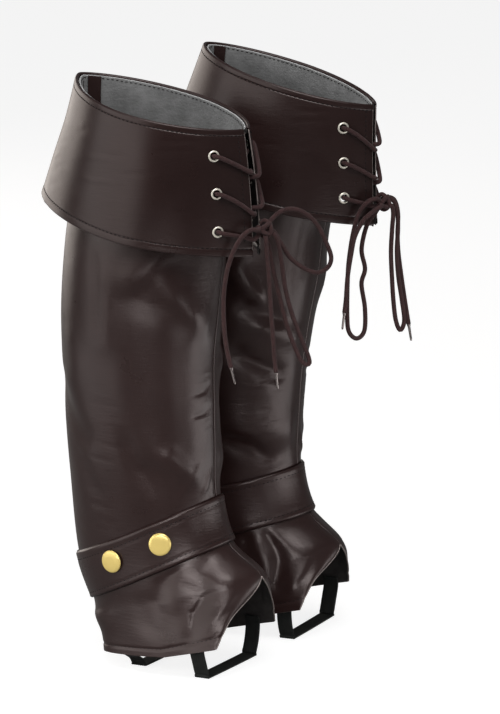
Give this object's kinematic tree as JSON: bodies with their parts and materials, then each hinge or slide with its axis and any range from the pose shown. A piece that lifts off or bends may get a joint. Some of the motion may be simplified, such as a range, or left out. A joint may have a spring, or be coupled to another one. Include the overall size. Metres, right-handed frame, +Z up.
{
  "type": "pair of cuffed boot covers with laced cuffs and snap straps",
  "caption": "Two hollow leather-look covers worn over boots: a flared cuff laced at a front slit, a shaft, an ankle strap with snaps and a foot part with bands under the sole.",
  "frame": {"origin": "The point midway between the two covers, on the wearer's middle plane, 100 mm above the level of the front foot hem's lowest band, where the wearer holds the pair up.", "axes": "Z is up along the legs, the toes point along -Y, and +X is the wearer's left."},
  "size_m": [0.2855, 0.2803, 0.5154],
  "materials": {
    "dark brown leather": "soft sheen, fine grain",
    "grey lining": "brushed knit",
    "red brown lace": "round braid",
    "pale nickel": "polished, slightly worn",
    "polished gold": "polished",
    "black elastic": "ribbed, matt"
  },
  "bodies": {
    "root": {"right_leg_outer": "dark brown leather", "right_leg_inner": "dark brown leather", "right_cuff": "dark brown leather", "right_lining": "grey lining", "right_back_strip": "dark brown leather", "right_strap": "dark brown leather", "right_snap_1": "polished gold", "right_snap_2": "polished gold", "right_eyelet_outer_1": "pale nickel", "right_eyelet_outer_2": "pale nickel", "right_eyelet_outer_3": "pale nickel", "right_eyelet_inner_1": "pale nickel", "right_eyelet_inner_2": "pale nickel", "right_eyelet_inner_3": "pale nickel", "right_lacing": "red brown lace", "right_knot": "red brown lace", "right_wide_loop": "red brown lace", "right_long_loop": "red brown lace", "right_outer_tail": "red brown lace", "right_outer_tail_aglet": "pale nickel", "right_front_tail": "red brown lace", "right_front_tail_aglet": "pale nickel", "right_front_elastic": "black elastic", "right_heel_elastic": "black elastic", "left_leg_outer": "dark brown leather", "left_leg_inner": "dark brown leather", "left_cuff": "dark brown leather", "left_lining": "grey lining", "left_back_strip": "dark brown leather", "left_strap": "dark brown leather", "left_snap_1": "polished gold", "left_snap_2": "polished gold", "left_eyelet_outer_1": "pale nickel", "left_eyelet_outer_2": "pale nickel", "left_eyelet_outer_3": "pale nickel", "left_eyelet_inner_1": "pale nickel", "left_eyelet_inner_2": "pale nickel", "left_eyelet_inner_3": "pale nickel", "left_lacing": "red brown lace", "left_knot": "red brown lace", "left_wide_loop": "red brown lace", "left_long_loop": "red brown lace", "left_outer_tail": "red brown lace", "left_outer_tail_aglet": "pale nickel", "left_front_tail": "red brown lace", "left_front_tail_aglet": "pale nickel", "left_front_elastic": "black elastic", "left_heel_elastic": "black elastic"}
  },
  "joints": []
}
